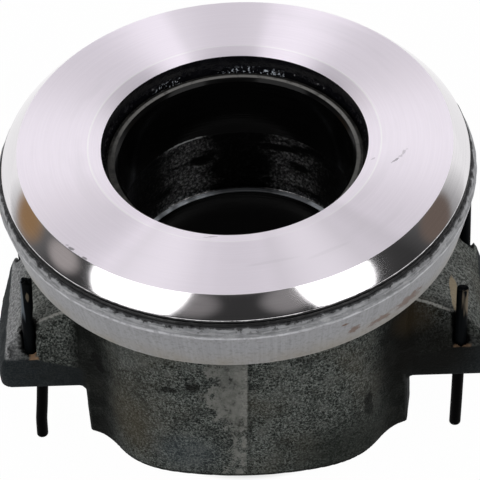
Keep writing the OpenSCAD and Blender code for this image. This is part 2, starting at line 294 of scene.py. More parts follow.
def round_corners(points, radii, steps=5):
    """The closed loop with each corner cut back by its radius over tan(half the corner) and a parabola put in."""
    points, radii = np.asarray(points, float), np.broadcast_to(radii, len(points))
    before, after = np.roll(points, 1, 0) - points, np.roll(points, -1, 0) - points
    room_b, room_a = np.linalg.norm(before, axis=1), np.linalg.norm(after, axis=1)
    before, after = before / room_b[:, None], after / room_a[:, None]
    half = 0.5 * np.arccos(np.clip((before * after).sum(1), -0.9999, 0.9999))
    cut = np.minimum(radii / np.tan(half), 0.45 * np.minimum(room_a, room_b))[:, None]
    t = np.linspace(0, 1, steps)[None, :, None]
    start, end = (points + cut * before)[:, None], (points + cut * after)[:, None]
    loop = ((1 - t) ** 2 * start + 2 * t * (1 - t) * points[:, None] + t ** 2 * end).reshape(-1, 2)
    keep = np.linalg.norm(loop - np.roll(loop, 1, 0), axis=1) > 1e-4
    return loop[keep]


def lathe(loop, turns=512, swell=None, axis=(0.0, 0.0)):
    """Vertices (r cos a, r sin a, z) of the loop at each angle a, and the quads between neighbours, closed both
    ways. swell(a, r, z) adds to the radius."""
    a = np.linspace(0, 2 * np.pi, turns, endpoint=False)[:, None]
    r, z = np.broadcast_to(loop[:, 0], (turns, len(loop))), np.broadcast_to(loop[:, 1], (turns, len(loop)))
    if swell is not None:
        r = r + swell(a, r, z)
    verts = np.stack([axis[0] + r * np.cos(a), axis[1] + r * np.sin(a), z], -1).reshape(-1, 3)
    here = np.arange(turns)[:, None] * len(loop) + np.arange(len(loop))
    on = np.roll(here, -1, 0)
    quads = np.stack([here, on, np.roll(on, -1, 1), np.roll(here, -1, 1)], -1).reshape(-1, 4)
    return verts, quads


def ripple(a, z, count, seed, spread, rise=0.0):
    """A seeded sum of count sines of the angle a, with whole frequencies up to spread, that drift with height z."""
    pick = np.random.default_rng(seed)
    wave, shift = pick.integers(3, spread, count), pick.uniform(0, 2 * np.pi, count)
    drift = pick.normal(0, 1, count) * rise
    return np.sin(a[..., None] * wave + z[..., None] * drift + shift).sum(-1) / np.sqrt(count)


def make_piece(name, verts, faces, body, slot, materials, stands_for=(), face_material=None, sharp=40):
    """A mesh object in metres, at the origin, that rides on a body and wears the materials it is given. slot is not
    used.
    """
    mesh = bpy.data.meshes.new(name)
    mesh.from_pydata(np.asarray(verts) * MM, [], np.asarray(faces).tolist())
    for material in materials:
        mesh.materials.append(material)
    if face_material is not None:
        mesh.polygons.foreach_set("material_index", np.asarray(face_material, np.int32))
    mesh.polygons.foreach_set("use_smooth", np.ones(len(mesh.polygons), bool))
    mesh.set_sharp_from_angle(angle=np.radians(sharp))
    mesh.update()
    piece = bpy.data.objects.new(name, mesh)
    bpy.context.collection.objects.link(piece)
    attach(piece, body)
    if stands_for:
        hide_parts(*stands_for)
    print(name, len(mesh.polygons), "faces")
    return piece


print("lathe helpers ready")

# %% [markdown]
# ## Ground and polished steel
# The thrust face is ground in rings, so its shine is drawn out across the rings into bright fans: an anisotropic
# metal whose tangent runs round the axis. The streaks are a noise that is stretched round the axis, made from the
# radius and the angle. A few fans are painted a little duller, a painted reflection of the room that turns with the
# ring, and a thin painted highlight runs along the bevel's edge. The edge is the same steel, polished until it
# mirrors the soft boxes. Single marks, such as a scratch, are soft ellipses at one place on the part, kept in tables
# that are painted one after another.


# %% Finish helpers
def new_finish(name):
    """A material with a Principled shader: the material, a function that sets or links one of the shader's sockets,
    and the Object coordinates."""
    material = bpy.data.materials.new(name)
    material.use_nodes = True
    tree = material.node_tree
    shader = tree.nodes["Principled BSDF"]

    def put(socket, value):
        fill(shader, socket, value)

    return material, put, add("TexCoord", tree=tree).outputs["Object"]


def bump(height, strength, depth):
    """A normal that is bent by a height texture; depth is in millimetres."""
    return add("Bump", {"Height": height, "Strength": strength, "Distance": depth * MM}).outputs[0]


def axis_distance(spot):
    """The coordinates without their height, and the distance from the axis."""
    flat = vector_math("MULTIPLY", spot, (1, 1, 0))
    return flat, vector_math("LENGTH", flat, out="Value")


def round_the_axis(spot, across, along):
    """A vector whose last part is the radius times across and whose others turn with the angle, for a noise that
    runs round the axis."""
    flat, radius = axis_distance(spot)
    unit = vector_math("NORMALIZE", flat)
    turned = vector_math("MULTIPLY", unit, (along, along, 0))
    out = add("CombineXYZ", {2: math("MULTIPLY", radius, across)}).outputs[0]
    return vector_math("ADD", turned, out)


def mark(spot, centre, half, turn=0.0, ragged=None, core=0.55):
    """1 in an ellipsoid at centre with these half sizes in millimetres, turned about Z by turn degrees, falling to 0
    at its edge; a noise makes the edge ragged."""
    local = add("Mapping", {0: spot, "Location": [c * MM for c in centre], "Rotation": (0, 0, np.radians(turn)),
                            "Scale": [h * MM for h in half]}, vector_type="TEXTURE").outputs[0]
    away = vector_math("LENGTH", local, out="Value")
    if ragged is not None:
        away = jitter(away, ragged, 2.4)
    return ease(away, 1.0, core)


def paint_marks(spot, tone, marks, ragged=None, core=0.55):
    """The tone with a table of marks painted on it: centre, half sizes, turn, colour and density of each."""
    for centre, half, turn, colour, density in marks:
        tone = paint(tone, colour, mark(spot, centre, half, turn, ragged, core), density)
    return tone


print("finish helpers ready")

# %% Ground face
bevel_r = 35.9
ground_face, put, spot = new_finish("ground_face")
streak = noise(round_the_axis(spot, 2600.0, 2.2), 1.0, 4.0)
smudge = noise(round_the_axis(spot, 160.0, 1.6), 1.0, 2.0)
radius = axis_distance(in_mm(spot))[1]
tone = mix(ease(streak, 0.35, 0.68), (0.90, 0.84, 0.92), (0.935, 0.875, 0.955))
tone = paint(tone, (0.76, 0.72, 0.78), ease(smudge, 0.5, 0.75), 0.30)
# A thin painted highlight runs along the edge of the bevel.
tone = paint(tone, (1.0, 0.98, 1.0), stripe(radius, bevel_r, 0.30, 0.1), 0.7)

# Duller fans, a painted reflection of the room: middle and half width in degrees from the front, density.
painted_reflection_fans = [(-175, 15, 0.48), (-20, 13, 0.55), (20, 27, 0.48), (24, 13, 0.65)]
compass = axes(spot)
bearing = math("ARCTAN2", compass["X"], math("MULTIPLY", compass["Y"], -1.0))
for fan_middle, fan_half, density in painted_reflection_fans:
    off_angle = math("PINGPONG", math("SUBTRACT", bearing, np.radians(fan_middle)), np.pi)
    in_fan = ease(off_angle, np.radians(fan_half + 3), np.radians(fan_half - 3))
    tone = paint(tone, (0.70, 0.66, 0.71), in_fan, density)

scratch, faint = (0.20, 0.19, 0.20), (0.40, 0.38, 0.40)
scratches = [((39.1, -9.2, 87), (1.4, 0.28, 3), 40, scratch, 0.6),
             ((40.9, -6.9, 87), (2.3, 0.5, 3), 57, scratch, 0.35),
             ((33.6, -8.2, 86.3), (0.9, 0.3, 3), 20, scratch, 0.3),
             ((-38.5, -36.3, 87), (1.5, 0.5, 3), -47, scratch, 0.75),
             ((-34.8, -40.1, 87), (1.8, 0.45, 3), -41, scratch, 0.75),
             ((-5.7, -33.6, 86.4), (1.6, 0.35, 3), 8, scratch, 0.4)]
faint_lines = [((22, -40, 87), (7, 0.7, 3), 28, faint, 0.10), ((9, -43, 87), (8, 0.6, 3), 12, faint, 0.10)]
tone = paint_marks(spot, tone, scratches, noise(spot, 900.0, 2.0))
tone = paint_marks(spot, tone, faint_lines)
put("Base Color", tone)
put("Metallic", 1.0)
put("Anisotropic", 0.95)
put("Anisotropic Rotation", 0.25)
put("Tangent", add("Tangent", tree=spot.id_data, direction_type="RADIAL", axis="Z").outputs[0])
put("Roughness", scaled(streak, 0.05, 0.42))
put("Normal", bump(streak, 0.05, 0.04))
print("ground face nodes:", len(spot.id_data.nodes), "fans:", len(painted_reflection_fans), "scratches:", len(scratches))

# %% Polished edge
polished_edge, put, spot = new_finish("polished_edge")
streak = noise(round_the_axis(spot, 3000.0, 1.2), 1.0, 3.0)
smear, edge_dirt = noise(spot, 60.0, 3.0), noise(spot, 480.0, 4.0, 0.65)
height = axes(in_mm(spot))["Z"]
grease = ease(jitter(height, edge_dirt, 0.7), 82.42, 82.28)
tone = mix(streak, (0.70, 0.68, 0.70), (0.82, 0.80, 0.82))
put("Base Color", paint(tone, (0.006, 0.006, 0.007), grease))
put("Metallic", math("SUBTRACT", 1.0, grease))
put("Roughness", scaled(grease, 0.35, scaled(smear, 0.10, 0.05)))
put("Specular IOR Level", 0.3)
print("polished edge nodes:", len(spot.id_data.nodes))

# %% Greasy steel
greasy_steel, put, spot = new_finish("greasy_steel")
film, glint_specks = noise(spot, 420.0, 4.0), noise(spot, 1300.0, 2.0)
height = axes(in_mm(spot))["Z"]
# Bluish white specks in a belt just above the sleeve's end, thickest in two patches at the back, are painted glints on
# the grease.
glint_belt = times(ease(height, 80.0, 80.4), ease(height, 83.2, 81.4))
glint_heaps = math("ADD", mark(spot, (-17, 28, 81.3), (5, 6, 2.6)), mark(spot, (5, 32, 81.3), (11, 6, 2.6)), clamp=True)
tone = mix(film, (0.002, 0.002, 0.003), (0.010, 0.010, 0.013))
put("Base Color", paint(tone, (0.72, 0.78, 0.86), glint_belt, ease(glint_specks, 0.57, 0.63), glint_heaps))
put("Roughness", scaled(film, 0.3, 0.08))
put("Specular IOR Level", 0.5)
put("Normal", bump(film, 0.5, 0.3))
print("greasy steel nodes:", len(spot.id_data.nodes))

# %% [markdown]
# ## Thrust ring
# The ring that the clutch levers press on: a flat ground face, a bevel into the bore, a slightly crowned mirror
# edge, a short rim over the seal and the ball track underneath. The profile repeats the CAD sizes, with the
# edges broken by a few tenths as a grinder leaves them. Grease has been squeezed up the wall of its bore, so the
# wall swells into small lumps just above the sleeve's end.

# %% Thrust ring
fine_turns, edge_steps, groove_steps, wall_steps, face_steps = 640, 22, 17, 34, 24
bore_r, face_r, skirt_r = 32.7, 53.4, 54.6
rim_z, under_z, ball_r, ball_z, track = face_z - 5.3, face_z - 10.2, 45.4, face_z - 11.8, 4.7
snout_z = face_z - 5.4
low, high, crown = np.array([ring_r, face_z - 4.5]), np.array([face_r, face_z]), 0.13
half_chord = np.linalg.norm(high - low) / 2
skin_r = (half_chord ** 2 + crown ** 2) / (2 * crown)
outward = np.array([high[1] - low[1], low[0] - high[0]]) / (2 * half_chord)
middle = (low + high) / 2 - outward * (skin_r - crown)
edge_angles = np.degrees(np.arctan2(*(np.array([high, low]) - middle).T[::-1]))
edge = arc(middle, skin_r, *edge_angles, edge_steps)
opening = np.degrees(np.arcsin((under_z - ball_z) / track))
groove = arc((ball_r, ball_z), track, opening, 180 - opening, groove_steps)
wall = np.c_[np.full(wall_steps, bore_r), np.linspace(under_z + 0.4, face_z - 1.3, wall_steps)]
face_line = np.c_[np.linspace(bevel_r + 0.6, face_r - 0.7, face_steps), np.full(face_steps, face_z)]
corners = [([[bore_r, under_z]], 0.3), (wall, 0), ([[bore_r, face_z - 0.9]], 0.25), ([[bevel_r, face_z]], 0.12),
           (face_line, 0), (edge[:1], 0.1), (edge[1:-1], 0), (edge[-1:], 0.22),
           ([[ring_r, rim_z], [skirt_r, rim_z]], 0.2), ([[skirt_r, under_z]], 0.3), (groove, 0)]
ring_loop = round_corners(np.vstack([points for points, _ in corners]),
                          np.concatenate([np.full(len(points), radius) for points, radius in corners]))


def squeezed_grease(a, r, z):
    """Lumps on the bore's wall: a ripple, kept where it is high, in a belt just above the sleeve's end."""
    belt = np.exp(-((z - snout_z - 0.5) / 0.9) ** 2) * (np.abs(r - bore_r) < 0.02)
    return -0.30 * belt * np.clip(ripple(a, z, count=30, seed=5, spread=150, rise=3.0) + 0.2, 0, 1.6)


ring_verts, ring_quads = lathe(ring_loop[::-1], fine_turns, squeezed_grease)
ring_mid = ring_loop[::-1][ring_quads % len(ring_loop)].mean(1)
on_edge = (ring_mid[:, 0] > face_r - 0.03) & (ring_mid[:, 1] > rim_z - 0.1)
on_face = (ring_mid[:, 0] > bore_r + 0.12) & (ring_mid[:, 0] <= face_r) & (ring_mid[:, 1] > face_z - 0.95)
make_piece("thrust_ring_ground", ring_verts, ring_quads, "thrust_ring", "polished_steel",
           [greasy_steel, ground_face, polished_edge], ["thrust_ring"],
           np.where(on_edge, 2, np.where(on_face, 1, 0)))

# %% [markdown]
# ## Casing
# A cup pressed from sheet steel: a rounded foot, a wall that flares up to a ridge and a lip rolled in over the
# seal. Rolling leaves the lip uneven, so a small ripple that changes with the angle is added to its radius. The
# finish is dull steel with upright draw marks, a dirty lip, a painted highlight along the ridge and a few rust
# spots on one side.

# %% Casing wall finish
foot_z, lip_z = face_z - 21.1, face_z - 6.3
casing_steel, put, spot = new_finish("casing_steel")
height = axes(in_mm(spot))["Z"]
blotch, grain = noise(spot, 130.0, 5.0, 0.62), noise(spot, 1100.0, 2.0)
draw_mark = noise(round_the_axis(spot, 25.0, 120.0), 1.0, 3.0, 0.6)
tone = mix(ease(draw_mark, 0.25, 0.75), (0.243, 0.245, 0.256), (0.308, 0.311, 0.324))
tone = paint(tone, (0.36, 0.36, 0.37), ease(blotch, 0.40, 0.68), 0.45)
tone = paint(tone, (0.14, 0.14, 0.14), ease(grain, 0.50, 0.66), 0.35)
near_foot = ease(height, 74.0, 66.5)
tone = paint(tone, (0.235, 0.205, 0.155), near_foot, ease(blotch, 0.3, 0.65, 0.35, 1.0), 0.6)
relief = math("ADD", times(blotch, 0.4), times(draw_mark, 0.3))
relief = math("ADD", times(grain, 0.4), relief)
put("Metallic", 0.7)
put("Roughness", scaled(blotch, 0.2, 0.44))
put("Normal", bump(relief, 0.35, 0.3))
print("casing wall nodes:", len(spot.id_data.nodes))

# %% Casing lip and rust
ridge_z = 78.2
upwards = add("CombineXYZ", {2: math("MULTIPLY", height, 2.2)}).outputs[0]
rolled = vector_math("ADD", round_the_axis(spot, 0.0, 14.0), upwards)
roll_mark, dirt = noise(rolled, 1.0, 3.0, 0.5), noise(spot, 520.0, 4.0, 0.65)
lip_tone = mix(ease(roll_mark, 0.30, 0.70), (0.205, 0.21, 0.217), (0.455, 0.46, 0.475))
lip_tone = paint(lip_tone, (0.035, 0.036, 0.036), ease(dirt, 0.54, 0.64), ease(height, 78.6, 80.4))
lip_tone = paint(lip_tone, (0.62, 0.62, 0.63), ease(dirt, 0.46, 0.34), ease(height, 80.6, 78.6), 0.6)
tone = paint(tone, lip_tone, ease(jitter(height, blotch, 0.8), 78.4, 79.2), 0.9)
tone = paint(tone, (0.012, 0.012, 0.013), ease(jitter(height, dirt, 2.2), 80.1, 80.6), 0.85)
# The ridge is painted bright, a painted highlight that the roll marks and the dirt break up.
ridge = stripe(jitter(height, blotch, 0.9), ridge_z, 0.6, 0.2)
highlight_breakup = times(ease(roll_mark, 0.3, 0.6, 0.35, 1.0), ease(dirt, 0.62, 0.48, 0.3, 1.0))
tone = paint(tone, (0.62, 0.62, 0.65), ridge, highlight_breakup, 0.85)
rust = (0.125, 0.062, 0.036)
rust_spots = [((25.4, -52.6, 75.0), (1.3, 1.3, 0.55), 0, rust, 0.95),
              ((27.6, -50.4, 71.3), (1.9, 1.9, 1.7), 0, rust, 0.75),
              ((33.5, -46.3, 70.2), (4.6, 4.6, 1.7), 0, rust, 0.75),
              ((40.8, -40.2, 70.8), (5.4, 5.4, 2.4), 0, rust, 0.75)]
rust_grain = noise(stretched(spot, (420.0, 420.0, 700.0)), 1.0, 4.0, 0.7)
put("Base Color", paint_marks(spot, tone, rust_spots, rust_grain, 0.4))
print("casing finish nodes:", len(spot.id_data.nodes), "rust spots:", len(rust_spots))

# %% Casing
casing_loop = round_corners([[31.7, foot_z], [56.2, foot_z], [59.2, lip_z - 2.3], [58.2, lip_z], [57.1, lip_z],
                             [57.1, lip_z - 2.3], [54.3, foot_z + 2], [31.7, foot_z + 2]],
                            [0.3, 1.6, 0.45, 0.35, 0.2, 0.5, 0.8, 0.3], 7)


def rolled_lip(a, r, z):
    """Ripple of the lip: grows from nothing below the ridge to two tenths of a millimetre at most on its outside."""
    grow = np.clip((z - (lip_z - 3.2)) / 2.0, 0, 1) * (r > 57.6)
    return 0.09 * grow * ripple(a, z, count=24, seed=7, spread=90, rise=1.5)


make_piece("casing_pressed", *lathe(casing_loop[::-1], fine_turns, rolled_lip), "carrier", "casing_steel",
           [casing_steel], ["casing"])

# %% [markdown]
# ## Outer seal
# A black rubber ring fills the gap under the thrust ring. Only its edge shows, wet with grease, so its surface
# gets small lumps that catch the light as points.

# %% Outer seal
wet_rubber, put, spot = new_finish("wet_rubber")
lumps = noise(spot, 700.0, 3.0)
put("Base Color", mix(lumps, (0.003, 0.003, 0.003), (0.012, 0.012, 0.013)))
put("Roughness", scaled(lumps, 0.5, 0.12))
put("Normal", bump(lumps, 0.6, 0.4))
seal_loop = round_corners([[55.0, lip_z - 1.8], [57.1, lip_z - 1.8], [57.1, lip_z], [57.8, lip_z], [57.4, lip_z + 0.6],
                           [55.0, lip_z + 0.6]], 0.25, 5)


def grease_beads(a, r, z):
    """Beads of grease along the seal's outer edge."""
    return 0.06 * (r > 57.0) * (z > lip_z) * ripple(a, z, count=30, seed=11, spread=160, rise=2.0)


make_piece("outer_seal_lip", *lathe(seal_loop[::-1], fine_turns, grease_beads), "carrier", "seal_rubber",
           [wet_rubber], ["outer_seal"])

# %% [markdown]
# ## Wire pins
# Four lengths of blackened spring wire stand in the lugs. Each is a small turned shape about its own axis. Use has
# bent the two front ones a little, so their axis follows a table of sideways shifts by height, and the casting's
# holes will follow the same table. The ends are left uneven by the shears. The wire is nearly black and painted
# darker still towards its lower end, as painted shade, with grey and brown painted highlights near the upper ends
# of the front ones.

# %% Wire finish
black_wire, put, spot = new_finish("black_wire")
scale = noise(stretched(spot, (900.0, 900.0, 60.0)), 1.0, 3.0)
height = axes(in_mm(spot))["Z"]
tone = mix(scale, (0.0015, 0.002, 0.0025), (0.005, 0.006, 0.007))
# The lower part of the wire is painted darker, as painted shade where it goes down into the lug.
tone = paint(tone, (0.0006, 0.0006, 0.0008), ease(height, 33.0, 24.0))
# Painted highlights near the upper ends of the front wires: brown on the right one, grey and a small brown spot on the
# left one.
wire_highlights = [((56.1, -17.3, 45.4), (1.0, 1.6, 6.0), 0, (0.21, 0.175, 0.13), 0.8),
              ((-55.6, -16.0, 50), (1.2, 2.0, 11), 0, (0.16, 0.185, 0.21), 0.8),
              ((-53.6, -16.0, 51.0), (0.5, 0.9, 1.4), 0, (0.16, 0.135, 0.10), 0.8)]
put("Base Color", paint_marks(spot, tone, wire_highlights, scale))
put("Roughness", scaled(scale, 0.25, 0.28))
put("Specular IOR Level", 0.01)
print("wire finish nodes:", len(spot.id_data.nodes))

# %% Wire pins
# Heights, and the axis's shifts to the right and to the back at each, in millimetres.
straight = ([0, 60], [0, 0], [0, 0])
wire_bends = {"pin_front_left": ([0, 6, 12.5, 20.5, 25, 31, 43, 46, 58],
                                 [-0.15, 0.15, 0.95, 1.8, 0.85, -0.4, -0.1, 0.35, 1.1],
                                 [0, 0, 0, 0, 0.7, 1.4, 1.4, 1.4, 1.4]),
              "pin_front_right": ([0, 10, 20.5, 31, 40, 50], [-0.5, -0.15, 0.15, 0.5, 0.75, 0.9], [0, 0, 0, 0, 0, 0]),
              "pin_back_left": straight, "pin_back_right": straight}
wire_cuts, shear_marks = {"pin_front_left": 2.3}, {"pin_front_left": 0.3}
wire_r, wire_steps, wire_turns = 1.5, 40, 40
pin_axes = {}
for pin_name, (heights, sideways, back) in wire_bends.items():
    low_corner, high_corner = (np.array(corner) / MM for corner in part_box(pin_name))
    pin_axes[pin_name] = (low_corner + high_corner)[:2] / 2
    low_z, top_z = low_corner[2], high_corner[2] - wire_cuts.get(pin_name, 0.0)
    side = np.c_[np.full(wire_steps, wire_r), np.linspace(top_z - 1, low_z + 1, wire_steps)[::-1]]
    points = [[0.001, low_z], [wire_r, low_z], *side, [wire_r, top_z], [0.001, top_z]]
    wire_loop = round_corners(points, [0, 0.55, *[0] * wire_steps, 0.3, 0], 6)
    verts, quads = lathe(wire_loop, wire_turns, axis=pin_axes[pin_name])
    angle = np.arctan2(*(verts[:, :2] - pin_axes[pin_name]).T)
    verts[:, 2] -= (verts[:, 2] > top_z - 0.6) * shear_marks.get(pin_name, 0.1) * (1 + np.sin(3 * angle + 1.0))
    verts[:, 0] += np.interp(verts[:, 2], heights, sideways)
    verts[:, 1] += np.interp(verts[:, 2], heights, back)
    make_piece(pin_name + "_wire", verts, quads, "carrier", "spring_steel", [black_wire], [pin_name])

# %% [markdown]
# ## Guide sleeve
# The bore and the snout are the machined part of the carrier: a guide bore with chamfered ends, parted by a
# wider grease pocket that was left rough. They are one turned profile of their own, because their edges have to
# stay crisp next to the rough casting. The lands are oiled and painted nearly black, partly as painted shade, with
# one painted highlight on the pocket's upper edge at the back. The pocket glitters between smears of oil and is
# painted dark in its middle and towards its sides, as painted shade. The ledge under the pocket and the back of
# the sleeve's end carry painted highlights.

# %% Bore and pocket finishes
oiled_and_shaded_bore, put, spot = new_finish("oiled_and_shaded_bore")
tool_marks = noise(stretched(spot, (60.0, 60.0, 2200.0)), 1.0, 2.0)
# A painted highlight on the pocket's upper edge, at the back on the left.
bore_edge_highlight = mark(spot, (-15.0, 24.9, 63.75), (8.5, 5.5, 0.5), 30, noise(spot, 350.0, 3.0), 0.3)
lit_patch = times(bore_edge_highlight, 0.9)
# The lands' near black is oil and painted shade.
tone = mix(tool_marks, (0.001, 0.001, 0.001), (0.004, 0.004, 0.004))
put("Base Color", paint(tone, (0.62, 0.63, 0.62), lit_patch))
put("Roughness", scaled(lit_patch, 0.35, 0.14))
put("Specular IOR Level", 0.12)
put("Normal", bump(tool_marks, 0.15, 0.1))

pocket_skin, put, spot = new_finish("pocket_skin")
pits = noise(spot, 1300.0, 3.0, 0.65)
oily = noise(stretched(spot, (45.0, 45.0, 170.0)), 1.0, 3.0)
off_middle = jitter(math("ABSOLUTE", axes(in_mm(spot))["X"]), oily, 16.0)
# Painted shade: the pocket is painted dark in its middle and towards its sides, and the noise adds smears of oil.
painted_shade_mask = math("ADD", ease(off_middle, 13.0, 5.0), ease(off_middle, 16.0, 22.0, 0.0, 0.9))
oil_and_shade = math("MAXIMUM", ease(oily, 0.50, 0.60), painted_shade_mask)
tone = ramp(pits, [(0.36, 0.03), (0.52, 0.15), (0.68, 0.60)])
put("Base Color", paint(tone, (0.002, 0.002, 0.002), oil_and_shade, 0.98))
put("Metallic", 1.0)
put("Roughness", scaled(oily, 0.2, 0.22))
put("Normal", bump(pits, 0.2, 0.3))
print("bore and pocket finishes ready")

# %% Sleeve end and ledge, with painted highlights
sleeve_end_highlit, put, spot = new_finish("sleeve_end_highlit")
grit, place = noise(spot, 600.0, 4.0), in_mm(spot)
compass = axes(place)
# A painted highlight along the inner edge of the sleeve's end, mostly at the back.
end_highlight = stripe(axis_distance(place)[1], 30.3, 0.6, 0.3)
at_back = math("ADD", ease(compass["Y"], -4.0, 27.0), ease(compass["X"], 18.0, 29.0, 0.0, 0.3), clamp=True)
tone = mix(ease(grit, 0.35, 0.65), (0.008, 0.008, 0.008), (0.030, 0.029, 0.026))
tone = paint(tone, (0.24, 0.235, 0.225), end_highlight, at_back, ease(grit, 0.3, 0.5, 0.5, 1.0))
put("Base Color", tone)
put("Metallic", 0.3)
put("Roughness", 0.36)
put("Specular IOR Level", 0.12)
put("Normal", bump(grit, 0.25, 0.15))

lit_ledge, put, spot = new_finish("lit_ledge")
glide = noise(spot, 130.0, 3.0)
off_middle = math("ABSOLUTE", math("SUBTRACT", axes(in_mm(spot))["X"], 1.0))
# The ledge is painted bright as a painted highlight, dim in its middle and broken up by a noise.
lit = times(ease(glide, 0.38, 0.55, 0.3, 1.0), ease(off_middle, 6.0, 12.0, 0.06, 1.0))
put("Base Color", mix(lit, (0.02, 0.022, 0.025), (0.62, 0.66, 0.70)))
put("Metallic", 0.2)
put("Roughness", 0.3)
print("rubbed finishes ready")

# %% Guide sleeve
end_z, base_z, sleeve_turns = foot_z - 2, 3.5, 384
pocket_low, pocket_high = base_z + 39.5, foot_z - 2.4
sleeve_corners = [[30.9, base_z], [30.9, end_z], [31.6, end_z], [31.6, snout_z], [29.8, snout_z], [29, snout_z - 0.8],
                  [29, pocket_high], [30.5, pocket_high], [30.5, pocket_low], [29, pocket_low], [29, base_z + 0.8],
                  [29.8, base_z]]
sleeve_loop = round_corners(sleeve_corners, [0.1, 0.1, 0.1, 0.2, 0.1, 0.1, 0.3, 0.4, 0.4, 0.35, 0.15, 0.1], 4)
sleeve_verts, sleeve_quads = lathe(sleeve_loop, sleeve_turns)
mid_r, mid_z = sleeve_loop[sleeve_quads % len(sleeve_loop)].mean(1).T
on_end = mid_z > snout_z - 0.1
on_ledge = (np.abs(mid_z - pocket_low) < 0.45) & (mid_r < 29.8)
in_pocket = (mid_z > pocket_low) & (mid_z < pocket_high - 0.1)
finish_of = np.select([on_end, on_ledge, in_pocket, mid_z > snout_z - 0.3], [2, 4, 1, 3], 0)
make_piece("guide_sleeve", sleeve_verts, sleeve_quads, "carrier", "iron",
           [oiled_and_shaded_bore, pocket_skin, sleeve_end_highlit, greasy_steel, lit_ledge], ["carrier"], finish_of)

# %% [markdown]
# ## Carrier casting
# A sand casting has no sharp outside edges, so a sum of plain solids would look wrong. Here the casting is a
# field: a number at each point of space that is negative inside. Soft maxima and minima of plain distances round
# its edges and fill its corners, and a skin is drawn where the field is zero.


# %% Field of the casting
def soft_max(a, b, k):
    """The larger of a and b, rounded over a width k where they are nearly equal: this rounds an outside edge."""
    h = np.clip(0.5 + 0.5 * (a - b) / k, 0, 1)
    return b + (a - b) * h + k * h * (1 - h)


def soft_min(a, b, k):
    """The smaller of a and b, rounded over a width k: this fills an inside corner."""
    return -soft_max(-a, -b, k)


body_r, flange_r, tip_r, hole_r = 42.0, 47.0, 65.3, 30.75
flat_x, lug_y, nose_x, crown_r, crown_back = 40.9, 18.6, 57.0, 92.0, 55.8
seat_z, band_z, crest_z = base_z + 17, base_z + 27.3, base_z + 41
draft, crest, nose = [(np.sin(np.radians(d)), np.cos(np.radians(d))) for d in (22, 19, 62)]
turn_z = crest_z - (nose_x - flat_x) * crest[0] / crest[1]


def body_field(x, y, z):
    """Round body with crowned faces, cut by two flats, between the sleeve's end and the shoulder."""
    r = np.hypot(x, y)
    crowned = np.hypot(x, np.abs(y) + crown_back) - crown_r
    plan = soft_max(soft_max(r - body_r, crowned, 3.0), np.abs(x) - flat_x, 0.6)
    flats = soft_max(np.abs(x) - flat_x, np.abs(y) - lug_y, 0.8)
    plan = soft_min(plan, flats, 6.0)
    return soft_max(soft_max(plan, base_z - z, 0.7), z - (foot_z - 4), 0.7)


def shoulder_field(x, y, z):
    """Flange under the bearing: a round rim over a 45 degree cone."""
    r = np.hypot(x, y)
    cone = (r - flange_r + (foot_z - 9 - z)) * np.sqrt(0.5)
    return soft_max(soft_max(soft_max(r - flange_r, cone, 1.5), z - foot_z, 0.4), foot_z - 16 - z, 0.5)


def lug_side(y, z):
    """Front and back of a lug: upright up to the band's top, then drafted inwards."""
    away = np.abs(y) - lug_y
    return soft_max(away, away * draft[1] + (z - band_z) * draft[0], 0.8)


def lug_crown(x, z):
    """Top of a lug: a gently falling crest that rounds over into a steep nose."""
    top = (z - crest_z) * crest[1] + (np.abs(x) - flat_x) * crest[0]
    front = (z - turn_z) * nose[1] + (np.abs(x) - nose_x) * nose[0]
    return soft_max(top, front, 6.0)


def lug_field(x, y, z):
    """Fork lug: sides and crown with a crisp crest, a round end and a machined underside."""
    upper = soft_max(soft_max(lug_side(y, z), lug_crown(x, z), 0.9), np.hypot(x, y) - tip_r, 2.4)
    return soft_max(upper, seat_z - z, 0.5)


def from_wire(name, x, y, z):
    """Distance from a pin's axis in plan, with the wire's bend."""
    heights, sideways, back = wire_bends[name]
    axis_x, axis_y = pin_axes[name]
    return np.hypot(x - axis_x - np.interp(z, heights, sideways), y - axis_y - np.interp(z, heights, back))


def casting_field(x, y, z):
    """Body, shoulder and lugs joined with cast fillets, less the pin wells and the bore that holds the sleeve."""
    join = np.where(z < band_z, 1.6, 3.2)
    solid = soft_min(soft_min(body_field(x, y, z), shoulder_field(x, y, z), 3.0), lug_field(x, y, z), join)
    for name in wire_bends:
        r = from_wire(name, x, y, z)
        out = np.abs(x - pin_axes[name][0] - np.interp(z, *wire_bends[name][:2]))
        slot = np.where(np.abs(y) > np.abs(pin_axes[name][1]) - 1.4, out, r)
        well = soft_max(np.minimum(r, slot) - 2.0, band_z - z, 0.3)
        solid = soft_max(solid, -np.minimum(well, np.maximum(r - 1.6, seat_z - 2 - z)), 0.3)
    return np.maximum(solid, hole_r - np.hypot(x, y))


print("field at the axis and far off:", casting_field(np.array([0.0, 90.0]), np.zeros(2), np.full(2, 20.0)))


